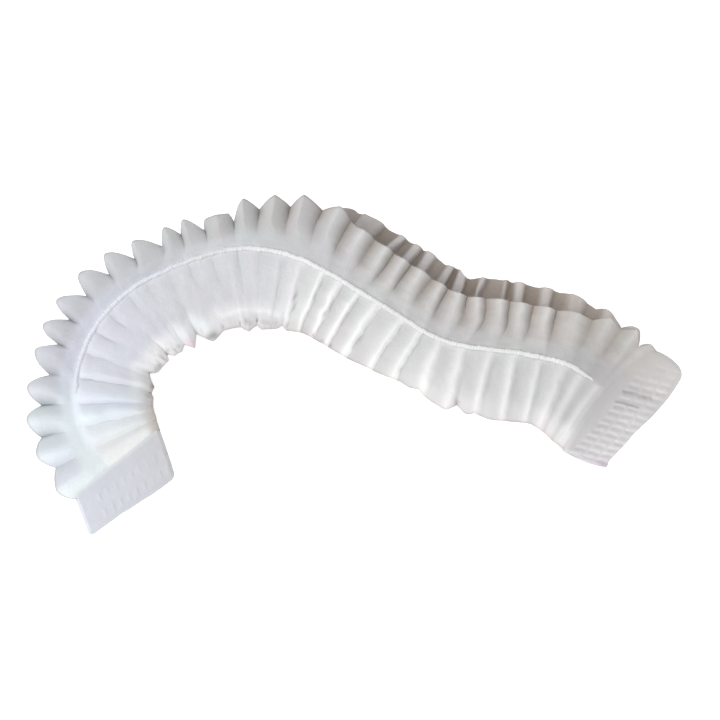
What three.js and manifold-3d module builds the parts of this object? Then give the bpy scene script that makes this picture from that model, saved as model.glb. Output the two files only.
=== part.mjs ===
// A disposable shower cap as it comes out of its packet: a pleated nonwoven tube, gathered on
// two elastic threads into a narrow strip and heat-sealed at both ends. The strip lies on its
// back wall in a loose double bend. Millimetres, +Z up, the surface it lies on is z = 0.
//
// The strip has its own coordinates: `along` runs down the elastic from the left seal to the
// right one, `across` is positive towards the frill and negative towards the crown, `height`
// is up. Both walls, the gusset between them and the threads are lofted in them.

import * as THREE from "three";
import * as BufferGeometryUtils from "three/addons/utils/BufferGeometryUtils.js";
import Module from "manifold-3d";

const GAP = 0.3;
const FRONT_WALL = 1.4;
const BACK_WALL = 1.2;
const SEALED_WALL = 0.8;
const THREAD_DIAMETER = 1.5;
const THREAD_SIDES = 6;

// The elastic's line on the surface, as arcs; a positive turn is to the left.
const SPINE_START = { x: -66.8, y: -42.3, heading: 119.5 };
const SPINE_ARCS = [
  { length: 18, turn: 4.5 },
  { length: 19.5, turn: -38.5 },
  { length: 42.5, turn: -58.5 },
  { length: 18, turn: -11 },
  { length: 28, turn: -42.5 },
  { length: 34, turn: -8 },
  { length: 22, turn: 31 },
  { length: 19.5, turn: -10 },
  { length: 17.5, turn: -11.5 },
  { length: 20, turn: -24.5 },
];

// Ridges, creases and the walls' two ends cross the strip. Each is given by its places along
// the strip at three levels: the frill's edge, the elastic and the crown.
const FRILL_LEVEL = 0;
const ELASTIC_LEVEL = 1;
const CROWN_LEVEL = 2;

// The walls run between the two seals, and swell to their full height over this length.
const WALLS = { from: [12.0, 13.8, 16.0], to: [228.2, 224.0, 219.5], swell: 18 };

// One row for each fold: its ridge, how far the tooth reaches there, the crease after it and
// how far the notch reaches there.
const FOLDS = [
  { ridge: [16.2, 17.0, 17.6], tooth: 16.4, crease: [20.6, 21.4, 19.9], notch: 12.9 },
  { ridge: [24.2, 22.9, 21.3], tooth: 16.5, crease: [27.1, 27.5, 25.9], notch: 13.2 },
  { ridge: [30.8, 29.2, 27.7], tooth: 16.3, crease: [33.7, 33.6, 32.8], notch: 11.7 },
  { ridge: [37.0, 35.4, 34.3], tooth: 15.9, crease: [40.4, 40.8, 41.6], notch: 9.9 },
  { ridge: [45.3, 43.0, 43.5], tooth: 15.7, crease: [48.1, 48.3, 48.4], notch: 9.5 },
  { ridge: [51.3, 50.6, 50.6], tooth: 16.0, crease: [54.7, 54.7, 54.7], notch: 9.9 },
  { ridge: [57.4, 57.0, 57.0], tooth: 16.0, crease: [61.9, 61.4, 61.4], notch: 9.8 },
  { ridge: [65.2, 64.5, 64.5], tooth: 15.2, crease: [69.4, 69.2, 69.0], notch: 9.3 },
  { ridge: [72.0, 71.8, 71.8], tooth: 14.8, crease: [76.6, 75.4, 75.4], notch: 8.8 },
  { ridge: [78.5, 78.6, 78.6], tooth: 13.4, crease: [84.6, 82.4, 82.4], notch: 8.5 },
  { ridge: [87.2, 86.0, 86.0], tooth: 13.2, crease: [90.5, 89.3, 89.4], notch: 8.9 },
  { ridge: [92.6, 93.0, 93.0], tooth: 13.4, crease: [96.8, 96.5, 97.0], notch: 8.7 },
  { ridge: [100.5, 100.5, 101.5], tooth: 11.9, crease: [104.2, 104.4, 105.6], notch: 9.4 },
  { ridge: [106.8, 108.4, 110.8], tooth: 15.8, crease: [110.1, 110.5, 113.0], notch: 12.3 },
  { ridge: [113.4, 116.0, 119.0], tooth: 17.3, crease: [116.7, 117.8, 121.2], notch: 15.0 },
  { ridge: [119.3, 122.4, 126.6], tooth: 19.2, crease: [122.0, 124.0, 128.6], notch: 16.8 },
  { ridge: [126.1, 129.8, 131.8], tooth: 19.9, crease: [130.6, 131.2, 132.9], notch: 17.4 },
  { ridge: [135.0, 136.0, 136.6], tooth: 16.8, crease: [139.6, 137.6, 137.9], notch: 16.2 },
  { ridge: [143.2, 142.6, 142.1], tooth: 15.8, crease: [146.1, 144.3, 143.5], notch: 15.3 },
  { ridge: [149.6, 149.0, 148.2], tooth: 15.3, crease: [151.8, 150.8, 149.4], notch: 14.8 },
  { ridge: [155.6, 157.4, 157.4], tooth: 15.3, crease: [159.0, 159.0, 158.8], notch: 14.8 },
  { ridge: [163.4, 164.2, 163.4], tooth: 15.2, crease: [167.0, 165.6, 164.7], notch: 14.6 },
  { ridge: [171.8, 171.0, 169.8], tooth: 14.6, crease: [175.4, 172.4, 171.0], notch: 14.0 },
  { ridge: [180.2, 177.6, 176.4], tooth: 14.3, crease: [183.0, 179.2, 177.9], notch: 13.9 },
  { ridge: [187.0, 186.3, 182.6], tooth: 14.3, crease: [189.8, 187.6, 183.8], notch: 13.9 },
  { ridge: [193.3, 193.2, 192.6], tooth: 14.1, crease: [196.6, 194.6, 193.9], notch: 13.7 },
  { ridge: [200.0, 201.1, 200.8], tooth: 14.2, crease: [203.0, 202.4, 202.0], notch: 13.7 },
  { ridge: [207.4, 208.0, 207.1], tooth: 15.0, crease: [211.8, 209.3, 208.2], notch: 14.4 },
  { ridge: [215.4, 214.0, 211.5], tooth: 17.7, crease: [219.0, 215.3, 212.7], notch: 16.4 },
  { ridge: [222.2, 219.6, 216.0], tooth: 19.1, crease: [224.7, 221.2, 217.2], notch: 14.8 },
  { ridge: [226.6, 222.8, 218.4], tooth: 17.6 },
];

// The strip along its length: how far across the elastic lies, reach of the crown fold, how far
// the back wall's frill shows past the front wall's, depth of the folds as a share of the full
// depth, and the part of that depth that they keep between the elastic and the crown.
const SECTIONS = [
  { along: 0, elastic: 0, crown: 15.3, backExtra: 0, depth: 0.5, body: 1 },
  { along: 14, elastic: 0, crown: 19.2, backExtra: -1, depth: 0.8, body: 1 },
  { along: 28, elastic: 1.2, crown: 20.2, backExtra: -1.2, depth: 1, body: 1 },
  { along: 44, elastic: 2.1, crown: 20.4, backExtra: -1.2, depth: 1, body: 0.8 },
  { along: 51, elastic: 2.3, crown: 19, backExtra: -1.2, depth: 1, body: 0.5 },
  { along: 66, elastic: 1.9, crown: 19.9, backExtra: -1.2, depth: 0.9, body: 0.35 },
  { along: 80, elastic: 1.3, crown: 21.8, backExtra: -1.2, depth: 0.85, body: 0.35 },
  { along: 94, elastic: 1.2, crown: 20.9, backExtra: -1.2, depth: 0.8, body: 0.35 },
  { along: 107, elastic: 1, crown: 22.6, backExtra: -1.2, depth: 0.9, body: 0.4 },
  { along: 119, elastic: 0.5, crown: 21.2, backExtra: -0.6, depth: 1, body: 0.6 },
  { along: 126, elastic: 0.6, crown: 19.6, backExtra: 1.6, depth: 1, body: 0.8 },
  { along: 133, elastic: 0.6, crown: 17.9, backExtra: 6, depth: 1, body: 1 },
  { along: 144, elastic: 0.1, crown: 17.3, backExtra: 7.2, depth: 1, body: 1 },
  { along: 163, elastic: 0.2, crown: 15.5, backExtra: 8.2, depth: 1, body: 1 },
  { along: 168, elastic: -0.2, crown: 15.9, backExtra: 9.2, depth: 1, body: 1 },
  { along: 173, elastic: -0.6, crown: 17.2, backExtra: 7.4, depth: 1, body: 1 },
  { along: 181, elastic: -0.9, crown: 19.2, backExtra: 8.1, depth: 1, body: 1 },
  { along: 190, elastic: -1.2, crown: 21.3, backExtra: 8, depth: 1, body: 1 },
  { along: 204, elastic: -0.8, crown: 20.6, backExtra: 7.7, depth: 1, body: 1 },
  { along: 211, elastic: -0.6, crown: 21.8, backExtra: 5.2, depth: 0.9, body: 1 },
  { along: 218, elastic: -0.8, crown: 23.6, backExtra: 1.6, depth: 0.8, body: 1 },
  { along: 227, elastic: -0.8, crown: 24.2, backExtra: 0, depth: 0.5, body: 1 },
  { along: 242, elastic: 0, crown: 21, backExtra: 0, depth: 0.2, body: 1 },
];

// Rows across a wall, from the frill's free edge to the crown fold. frill and crown are shares
// of the way from the elastic to that side's edge, notched is how much of a notch the row
// takes, and relief is half the depth of the folds there. The third and fourth row are the
// flat band that the elastic pinches.
const FRONT_ROWS = [
  { frill: 1, crown: 0, notched: 1, height: 11.0, relief: 1.5 },
  { frill: 0.6, crown: 0, notched: 0.2, height: 11.3, relief: 1.5 },
  { frill: 0.27, crown: 0, notched: 0, height: 10.7, relief: 0.7 },
  { frill: 0, crown: 0.03, notched: 0, height: 10.4, relief: 0.25 },
  { frill: 0, crown: 0.3, notched: 0, height: 11.1, relief: 1.2 },
  { frill: 0, crown: 0.68, notched: 0, height: 10.2, relief: 1.2 },
  { frill: 0, crown: 1, notched: 0, height: 7.2, relief: 1.0 },
];
const BACK_ROWS = [
  { frill: 1, crown: 0, notched: 1, height: 1.9, relief: 1.2 },
  { frill: 0.6, crown: 0, notched: 0.2, height: 1.8, relief: 1.2 },
  { frill: 0.22, crown: 0, notched: 0, height: 2.4, relief: 0.5 },
  { frill: 0, crown: 0.03, notched: 0, height: 2.6, relief: 0.2 },
  { frill: 0, crown: 0.25, notched: 0, height: 1.9, relief: 1.1 },
  { frill: 0, crown: 0.65, notched: 0, height: 1.8, relief: 1.2 },
  { frill: 0, crown: 1, notched: 0, height: 1.6, relief: 1.0 },
];

// Where the walls run into a seal they lie flat on each other.
const SEALED_HEIGHT = { front: 1.55, back: 0.45 };
const SEALED_RELIEF = { front: 0.05, back: 0.05 };

// The gusset's section: a fold whose edge points to the frill, in shares of the crown's reach
// and heights, round the outside of its two leaves and back along the inside.
const GUSSET = { from: 37, to: 205, relief: 1.05 };
const GUSSET_RING = [
  { crown: 0.97, height: 6.1 },
  { crown: 0.5, height: 6.8 },
  { crown: 0.42, height: 5.6 },
  { crown: 0.5, height: 4.4 },
  { crown: 0.97, height: 3.0 },
  { crown: 0.97, height: 4.0 },
  { crown: 0.62, height: 5.6 },
  { crown: 0.97, height: 5.0 },
];

const FRONT_THREAD = { from: 17, to: 220.5 };
const BACK_THREAD = { from: 33, to: 206, height: 0.85 };

// The seals: plates with rows of short embossed bars. Each corner is a strip point; the outer
// edge is the free one. first and pitch are mm inward from the outer edge.
const SEAL_THICKNESS = 1.6;
const SEAL_CORNER = 1.8;
const SEALS = [
  {
    name: "left_end_seal",
    outerFrill: { along: -1.4, across: 14.8 },
    innerFrill: { along: WALLS.from[FRILL_LEVEL], across: 12.8 },
    innerCrown: { along: WALLS.from[CROWN_LEVEL], across: -19.3 },
    outerCrown: { along: 1.6, across: -15.8 },
    bars: { heading: 107, first: 3.2, pitch: 5.0, columns: 2, rows: 11 },
  },
  {
    name: "right_end_seal",
    outerFrill: { along: 236.6, across: 17.7 },
    innerFrill: { along: WALLS.to[FRILL_LEVEL], across: 17.4 },
    innerCrown: { along: WALLS.to[CROWN_LEVEL], across: -23.9 },
    outerCrown: { along: 244.2, across: -21.2 },
    bars: { heading: -16, first: 3.0, pitch: 3.9, columns: 4, rows: 13 },
  },
];
const BAR = { length: 3.0, width: 0.9, height: 0.5, sunk: 0.4 };

// No bar lies nearer the walls than this share of a seal's length.
const LAST_BAR = 0.8;

const FABRIC = { color: 0xe4e3e6, roughness: 0.9, metalness: 0 };
const SEALED_FABRIC = { color: 0xdcdce2, roughness: 0.6, metalness: 0 };
const ELASTIC = { color: 0xf4f4f6, roughness: 0.75, metalness: 0 };

const wasm = await Module();
wasm.setup();

const radians = THREE.MathUtils.degToRad;
const mix = THREE.MathUtils.lerp;

// Point and heading of the elastic's line, at a distance along it.
function spineAt(along) {
  let { x, y } = SPINE_START;
  let heading = radians(SPINE_START.heading);
  let left = along;
  for (const [index, arc] of SPINE_ARCS.entries()) {
    const last = index === SPINE_ARCS.length - 1;
    const step = last ? left : Math.min(left, arc.length);
    const turn = radians(arc.turn) * (step / arc.length);
    const chord = turn === 0 ? step : (step * Math.sin(turn / 2)) / (turn / 2);
    x += chord * Math.cos(heading + turn / 2);
    y += chord * Math.sin(heading + turn / 2);
    heading += turn;
    left -= step;
    if (left <= 0) {
      break;
    }
  }
  return { x, y, heading };
}

function place({ along, across, height }) {
  const { x, y, heading } = spineAt(along);
  return new THREE.Vector3(
    x - across * Math.sin(heading),
    y + across * Math.cos(heading),
    height,
  );
}

// Value of a column of SECTIONS at a distance along the strip.
function section(column, along) {
  const inner = SECTIONS.slice(1, -1).filter((row) => row.along < along).length;
  const before = SECTIONS[inner];
  const after = SECTIONS[inner + 1];
  const share = (along - before.along) / (after.along - before.along);
  return mix(before[column], after[column], THREE.MathUtils.clamp(share, 0, 1));
}

function between(from, to, share) {
  return from.map((value, level) => mix(value, to[level], share));
}

// Stations along the strip, four to a fold: crease, flank, ridge, flank. wave is the height of
// the fold there, from -1 to 1, tooth the full reach of its frill and cut how much the notches
// take off it.
function foldStations() {
  const stations = [];
  for (const [i, fold] of FOLDS.entries()) {
    const before = FOLDS[i - 1] ?? { ...fold, crease: WALLS.from };
    const creaseTooth = (before.tooth + fold.tooth) / 2;
    const cutBefore = creaseTooth - before.notch;
    const after = fold.crease ?? WALLS.to;
    const cutAfter = fold.tooth - (fold.notch ?? fold.tooth);
    stations.push(
      { levels: before.crease, wave: -1, tooth: creaseTooth, cut: cutBefore },
      {
        levels: between(before.crease, fold.ridge, 0.55),
        wave: 0.45,
        tooth: fold.tooth,
        cut: cutBefore * 0.35,
      },
      { levels: fold.ridge, wave: 1, tooth: fold.tooth, cut: 0 },
      {
        levels: between(fold.ridge, after, 0.5),
        wave: 0.3,
        tooth: fold.tooth,
        cut: cutAfter * 0.4,
      },
    );
  }
  const lastTooth = FOLDS.at(-1).tooth;
  stations.push({ levels: WALLS.to, wave: -1, tooth: lastTooth, cut: 0 });
  return stations;
}

const STATIONS = foldStations();

// The station at a place on the elastic, between the fold stations.
function stationAt(along) {
  const next = STATIONS.findIndex(({ levels }) => levels[ELASTIC_LEVEL] > along);
  const [a, b] = [STATIONS[next - 1], STATIONS[next]];
  const start = a.levels[ELASTIC_LEVEL];
  const share = (along - start) / (b.levels[ELASTIC_LEVEL] - start);
  return {
    levels: between(a.levels, b.levels, share),
    wave: mix(a.wave, b.wave, share),
    tooth: mix(a.tooth, b.tooth, share),
    cut: mix(a.cut, b.cut, share),
  };
}

function stationsBetween(from, to) {
  const margin = 0.8;
  const inside = STATIONS.filter(({ levels }) => {
    const along = levels[ELASTIC_LEVEL];
    return along > from + margin && along < to - margin;
  });
  return [stationAt(from), ...inside, stationAt(to)];
}

// How far the walls have swollen at a station, from 0 at a seal to 1.
function swell({ levels }) {
  const along = levels[ELASTIC_LEVEL];
  const ends = [WALLS.from[ELASTIC_LEVEL], WALLS.to[ELASTIC_LEVEL]];
  return THREE.MathUtils.smoothstep(Math.min(along - ends[0], ends[1] - along), 0, WALLS.swell);
}

function elasticAcross({ levels }) {
  return section("elastic", levels[ELASTIC_LEVEL]);
}

// A point of the strip at a share of the way from the elastic to the frill or to the crown.
function towardsFrill(station, share, reach) {
  const { levels } = station;
  const turn = mix(share, THREE.MathUtils.smoothstep(share, 0, 0.6), swell(station));
  return {
    along: mix(levels[ELASTIC_LEVEL], levels[FRILL_LEVEL], turn),
    across: mix(elasticAcross(station), reach, share),
  };
}

function towardsCrown(station, share) {
  const { levels } = station;
  const reach = section("crown", levels[CROWN_LEVEL]);
  return {
    along: mix(levels[ELASTIC_LEVEL], levels[CROWN_LEVEL], share),
    across: mix(elasticAcross(station), -reach, share),
  };
}

// Triangles across one ring, turned the way the ring runs.
function capFaces(ring) {
  const outline = ring.map(({ across, height }) => new THREE.Vector2(across, height));
  const faces = THREE.ShapeUtils.triangulateShape(outline, []);
  const [a, b, c] = faces[0].map((index) => outline[index]);
  const sameWay = THREE.ShapeUtils.isClockWise([a, b, c]) === THREE.ShapeUtils.isClockWise(outline);
  return sameWay ? faces : faces.map(([first, second, third]) => [first, third, second]);
}

// A closed solid through rings of strip points, one ring for each station. Facets above and
// below each other are split along the same diagonal.
function loft(rings) {
  const count = rings[0].length;
  const positions = rings.flatMap((ring) => ring.flatMap((point) => place(point).toArray()));
  const indices = [];
  for (let i = 0; i + 1 < rings.length; i += 1) {
    for (let k = 0; k < count; k += 1) {
      const next = (k + 1) % count;
      const [a, b] = [i * count + k, i * count + next];
      const [c, d] = [a + count, b + count];
      if (rings[i][next].across > rings[i][k].across) {
        indices.push(a, b, d, a, d, c);
      } else {
        indices.push(a, b, c, b, d, c);
      }
    }
  }
  const last = (rings.length - 1) * count;
  capFaces(rings[0]).forEach(([a, b, c]) => indices.push(a, c, b));
  capFaces(rings.at(-1)).forEach(([a, b, c]) => indices.push(last + a, last + b, last + c));
  const geometry = new THREE.BufferGeometry();
  geometry.setAttribute("position", new THREE.Float32BufferAttribute(positions, 3));
  geometry.setIndex(indices);
  return facingOut(geometry);
}

function signedVolume(geometry) {
  const position = geometry.getAttribute("position");
  const index = geometry.getIndex();
  const [a, b, c] = [new THREE.Vector3(), new THREE.Vector3(), new THREE.Vector3()];
  let volume = 0;
  for (let i = 0; i < index.count; i += 3) {
    a.fromBufferAttribute(position, index.getX(i));
    b.fromBufferAttribute(position, index.getX(i + 1));
    c.fromBufferAttribute(position, index.getX(i + 2));
    volume += a.dot(b.cross(c)) / 6;
  }
  return volume;
}

function facingOut(geometry) {
  if (signedVolume(geometry) < 0) {
    const index = Array.from(geometry.getIndex().array);
    geometry.setIndex(index.reverse());
  }
  return geometry;
}

// Middle height of a wall's row at a station.
function rowHeight(row, station, side) {
  const full = swell(station);
  const along = station.levels[ELASTIC_LEVEL];
  const inBody = row.crown > 0 && row.crown < 1;
  const depth = section("depth", along) * (inBody ? section("body", along) : 1);
  const relief = mix(SEALED_RELIEF[side], row.relief * depth, full);
  const height = mix(SEALED_HEIGHT[side], row.height, full);
  return height + relief * station.wave;
}

function wallThickness(wall, station) {
  return mix(SEALED_WALL, wall, swell(station));
}

function wallRing(station, rows, side, wall, frillReach) {
  const half = wallThickness(wall, station) / 2;
  const middle = rows.map((row) => {
    const point = row.frill > 0
      ? towardsFrill(station, row.frill, frillReach(station))
      : towardsCrown(station, row.crown);
    return {
      along: point.along,
      across: point.across - row.notched * station.cut,
      height: rowHeight(row, station, side),
    };
  });
  const top = middle.map((point) => ({ ...point, height: point.height + half }));
  const under = middle.map((point) => ({ ...point, height: point.height - half }));
  return [...top, ...under.reverse()];
}

function frontPanel() {
  const reach = (station) => station.tooth;
  return loft(
    STATIONS.map((station) => wallRing(station, FRONT_ROWS, "front", FRONT_WALL, reach)),
  );
}

function backPanel() {
  const reach = ({ tooth, levels }) => tooth + section("backExtra", levels[FRILL_LEVEL]);
  return loft(
    STATIONS.map((station) => wallRing(station, BACK_ROWS, "back", BACK_WALL, reach)),
  );
}

function ridgesAndCreases({ wave }, index, all) {
  return Math.abs(wave) === 1 || index === 0 || index === all.length - 1;
}

function crownFolds() {
  const turns = stationsBetween(GUSSET.from, GUSSET.to).filter(ridgesAndCreases);
  return loft(
    turns.map((station) => {
      const depth = section("depth", station.levels[ELASTIC_LEVEL]);
      return GUSSET_RING.map((point) => {
        const height = point.height + GUSSET.relief * depth * station.wave;
        return { ...towardsCrown(station, point.crown), height };
      });
    }),
  );
}

function threadRing(station, height) {
  const radius = THREAD_DIAMETER / 2;
  return Array.from({ length: THREAD_SIDES }, (_, side) => {
    const angle = (2 * Math.PI * side) / THREAD_SIDES;
    return {
      along: station.levels[ELASTIC_LEVEL],
      across: elasticAcross(station) + radius * Math.cos(angle),
      height: height + radius * Math.sin(angle),
    };
  });
}

function threadStations({ from, to }) {
  return stationsBetween(from, to).filter(ridgesAndCreases);
}

function frontElastic() {
  const pinched = FRONT_ROWS[3];
  return loft(
    threadStations(FRONT_THREAD).map((station) => {
      const wallTop = rowHeight(pinched, { ...station, wave: 1 }, "front")
        + wallThickness(FRONT_WALL, station) / 2;
      return threadRing(station, wallTop + GAP + THREAD_DIAMETER / 2);
    }),
  );
}

function backElastic() {
  return loft(
    threadStations(BACK_THREAD).map((station) => threadRing(station, BACK_THREAD.height)),
  );
}

function solidOf(geometry) {
  const bare = new THREE.BufferGeometry();
  bare.setAttribute("position", geometry.getAttribute("position"));
  if (geometry.getIndex()) {
    bare.setIndex(geometry.getIndex());
  }
  const merged = BufferGeometryUtils.mergeVertices(bare);
  return new wasm.Manifold(
    new wasm.Mesh({
      numProp: 3,
      vertProperties: new Float32Array(merged.getAttribute("position").array),
      triVerts: new Uint32Array(merged.getIndex().array),
    }),
  );
}

function geometryOf(solid) {
  const mesh = solid.getMesh();
  const geometry = new THREE.BufferGeometry();
  geometry.setAttribute("position", new THREE.BufferAttribute(mesh.vertProperties, 3));
  geometry.setIndex(new THREE.BufferAttribute(mesh.triVerts, 1));
  return geometry;
}

// A point of a seal, from its outer edge (inward 0) to the walls (inward 1), and from its
// crown side (side 0) to its frill side (side 1).
function sealPoint({ outerFrill, innerFrill, innerCrown, outerCrown }, inward, side) {
  const direction = Math.sign(innerFrill.along - outerFrill.along);
  const inner = {
    along: mix(innerCrown.along, innerFrill.along, side) - direction * GAP,
    across: mix(innerCrown.across, innerFrill.across, side),
  };
  const outer = {
    along: mix(outerCrown.along, outerFrill.along, side),
    across: mix(outerCrown.across, outerFrill.across, side),
  };
  return {
    along: mix(outer.along, inner.along, inward),
    across: mix(outer.across, inner.across, inward),
  };
}

function sealOutline(spec) {
  const corners = [[0, 0], [1, 0], [1, 1], [0, 1]].map(([inward, side]) => {
    const { x, y } = place({ ...sealPoint(spec, inward, side), height: 0 });
    return new THREE.Vector2(x, y);
  });
  const [outerCrown, innerCrown, innerFrill, outerFrill] = corners;
  const toward = (corner, other) => {
    const step = other.clone().sub(corner).setLength(SEAL_CORNER);
    return corner.clone().add(step);
  };
  const outline = new THREE.Shape();
  const start = toward(outerCrown, innerCrown);
  const crownEnd = toward(outerCrown, outerFrill);
  const frillStart = toward(outerFrill, outerCrown);
  const frillEnd = toward(outerFrill, innerFrill);
  outline.moveTo(start.x, start.y);
  outline.lineTo(innerCrown.x, innerCrown.y);
  outline.lineTo(innerFrill.x, innerFrill.y);
  outline.lineTo(frillEnd.x, frillEnd.y);
  outline.quadraticCurveTo(outerFrill.x, outerFrill.y, frillStart.x, frillStart.y);
  outline.lineTo(crownEnd.x, crownEnd.y);
  outline.quadraticCurveTo(outerCrown.x, outerCrown.y, start.x, start.y);
  return outline;
}

function seal(spec) {
  const plate = new THREE.ExtrudeGeometry(sealOutline(spec), {
    depth: SEAL_THICKNESS,
    bevelEnabled: false,
    curveSegments: 4,
  });
  let solid = solidOf(plate);
  const { heading, first, pitch, columns, rows } = spec.bars;
  const length = (side) => {
    const outer = sealPoint(spec, 0, side);
    const inner = sealPoint(spec, 1, side);
    return Math.hypot(inner.along - outer.along, inner.across - outer.across);
  };
  for (let column = 0; column < columns; column += 1) {
    for (let row = 0; row < rows; row += 1) {
      const side = (row + 0.5) / rows;
      const inward = (first + column * pitch) / length(side);
      if (inward > LAST_BAR) {
        continue;
      }
      const point = sealPoint(spec, inward, side);
      const at = place({ ...point, height: SEAL_THICKNESS + (BAR.height - BAR.sunk) / 2 });
      const bar = new THREE.BoxGeometry(BAR.length, BAR.width, BAR.height + BAR.sunk);
      bar.rotateZ(radians(heading));
      bar.translate(at.x, at.y, at.z);
      solid = solid.add(solidOf(bar));
    }
  }
  return geometryOf(solid);
}

function piece(name, geometry, finish) {
  const mesh = new THREE.Mesh(geometry, new THREE.MeshStandardMaterial(finish));
  mesh.name = name;
  return mesh;
}

const cap = new THREE.Group();
cap.add(piece("front_panel", frontPanel(), FABRIC));
cap.add(piece("back_panel", backPanel(), FABRIC));
cap.add(piece("crown_folds", crownFolds(), FABRIC));
cap.add(piece("front_elastic", frontElastic(), ELASTIC));
cap.add(piece("back_elastic", backElastic(), ELASTIC));
SEALS.forEach((spec) => cap.add(piece(spec.name, seal(spec), SEALED_FABRIC)));

export default cap;
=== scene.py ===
# A disposable pleated shower cap as it comes out of its packet, lying in a loose double bend.
# Cloth is made in strip coordinates in millimetres: along the elastic, across it (positive to
# the frill, negative to the crown) and height. Everything else is in metres.

import math

import bpy
import numpy as np
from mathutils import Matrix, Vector


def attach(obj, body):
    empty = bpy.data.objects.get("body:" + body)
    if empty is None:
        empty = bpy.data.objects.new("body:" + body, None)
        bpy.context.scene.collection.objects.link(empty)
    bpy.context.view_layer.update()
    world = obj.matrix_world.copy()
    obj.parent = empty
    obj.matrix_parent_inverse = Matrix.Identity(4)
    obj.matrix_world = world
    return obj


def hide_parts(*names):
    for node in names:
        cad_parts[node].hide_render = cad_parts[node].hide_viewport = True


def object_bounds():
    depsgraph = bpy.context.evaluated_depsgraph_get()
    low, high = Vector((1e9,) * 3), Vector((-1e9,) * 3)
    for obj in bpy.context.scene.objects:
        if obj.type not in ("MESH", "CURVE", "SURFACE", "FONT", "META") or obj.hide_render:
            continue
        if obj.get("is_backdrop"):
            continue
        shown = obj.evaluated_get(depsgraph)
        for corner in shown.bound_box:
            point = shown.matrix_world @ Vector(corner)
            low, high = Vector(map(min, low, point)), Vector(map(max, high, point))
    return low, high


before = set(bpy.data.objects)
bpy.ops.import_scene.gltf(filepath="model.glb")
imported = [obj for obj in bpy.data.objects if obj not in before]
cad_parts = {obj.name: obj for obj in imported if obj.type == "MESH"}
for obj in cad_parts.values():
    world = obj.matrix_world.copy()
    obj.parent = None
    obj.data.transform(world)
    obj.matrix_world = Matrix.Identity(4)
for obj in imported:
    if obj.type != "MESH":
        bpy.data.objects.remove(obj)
cad_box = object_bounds()
scene = bpy.context.scene

MM = 0.001


def add_object(name, data):
    made = bpy.data.objects.new(name, data)
    scene.collection.objects.link(made)
    return made


# ---- the strip

SPINE_START = {"x": -66.8, "y": -42.3, "heading": 119.5}
SPINE_ARCS = [  # length, turn to the left in degrees
    (18, 4.5), (19.5, -38.5), (42.5, -58.5), (18, -11), (28, -42.5),
    (34, -8), (22, 31), (19.5, -10), (17.5, -11.5), (20, -24.5),
]
CLOTH = 0.28  # thickness
DRAWN_OUT = 2.4  # how much longer the cloth is than the strip

# Ridges, creases and the walls' ends cross the strip. Each is given by its places along the
# strip at three levels: the frill's edge, the elastic and the crown.
FRILL, ELASTIC, CROWN = 0, 1, 2
WALL_FROM, WALL_TO = (12.0, 13.8, 16.0), (228.2, 224.0, 219.5)
SWELL = 18.0  # the length over which the strip swells from its flat ends

FOLDS = np.array([  # ridge, reach of its tooth, the crease after it, reach of its notch
    (16.2, 16.6, 16.4, 16.4, 20.8, 20.9, 18.6, 12.9),
    (24.2, 22.4, 19.9, 16.5, 27.2, 27.1, 24.7, 13.2),
    (30.8, 28.9, 26.3, 16.3, 33.8, 33.4, 32, 11.7),
    (37, 35.1, 33.6, 15.9, 40.7, 40.8, 41.4, 9.9),
    (45.1, 43, 43.5, 15.7, 48.2, 48.3, 48.4, 9.5),
    (50.9, 50.6, 50.6, 16, 54.9, 55, 54.9, 9.9),
    (57, 57, 57, 16, 61.9, 61.4, 61.4, 9.8),
    (64.9, 64.5, 64.5, 15.7, 69.4, 69.2, 69, 9.3),
    (71.7, 71.8, 71.8, 14.8, 76.6, 75.4, 75.4, 8.8),
    (78.2, 78.6, 78.6, 13.4, 84.6, 82.4, 82.4, 8.5),
    (87, 86, 86, 13.2, 90.5, 89.3, 89.4, 9.7),
    (92.3, 93, 93, 13.4, 96.8, 96.5, 97, 8.7),
    (100.5, 100.5, 101.5, 11.9, 104.2, 104.4, 105.6, 9.4),
    (106.8, 108.4, 110.8, 15.8, 110.1, 110.9, 113, 13.2),
    (113.4, 116, 119, 17.3, 116.8, 118.2, 121.2, 15),
    (119.3, 122.6, 126.9, 19.2, 123.5, 125, 129.2, 16.8),
    (127, 130.2, 132, 19.9, 131, 131.8, 133.5, 17.4),
    (135.8, 136, 136.6, 16.8, 139.6, 138.2, 138.5, 16.2),
    (143.7, 142.6, 142.1, 15.8, 146.1, 144.3, 143.6, 15.3),
    (149.8, 149, 148.2, 15.3, 151.8, 151.5, 150.6, 14.8),
    (155.6, 157.7, 157.7, 15.3, 159, 159.7, 159.6, 14.8),
    (164, 164.2, 163.5, 15.2, 167, 166, 165.3, 14.6),
    (172.8, 171.7, 170.9, 14.6, 177, 173.2, 172.5, 14),
    (181.9, 178.3, 177.2, 14.3, 184.1, 179.6, 178.7, 13.9),
    (188, 187, 183.3, 14.3, 190.4, 188.4, 184.7, 13.9),
    (193.6, 193.9, 193.3, 14.1, 196.6, 195.4, 194.7, 13.7),
    (200.7, 201.7, 201.4, 14.2, 203, 203.2, 202.8, 13.7),
    (208.3, 209, 207.6, 15, 212.4, 211, 209.2, 14.4),
    (216.4, 214.7, 211.4, 17.9, 219.8, 217, 213.3, 16.4),
    (223.1, 221.2, 215.9, 19.3, 225.2, 222.4, 217.8, 14.8),
    (227.1, 223.2, 219, 17.8, *WALL_TO, 17),
])

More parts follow.
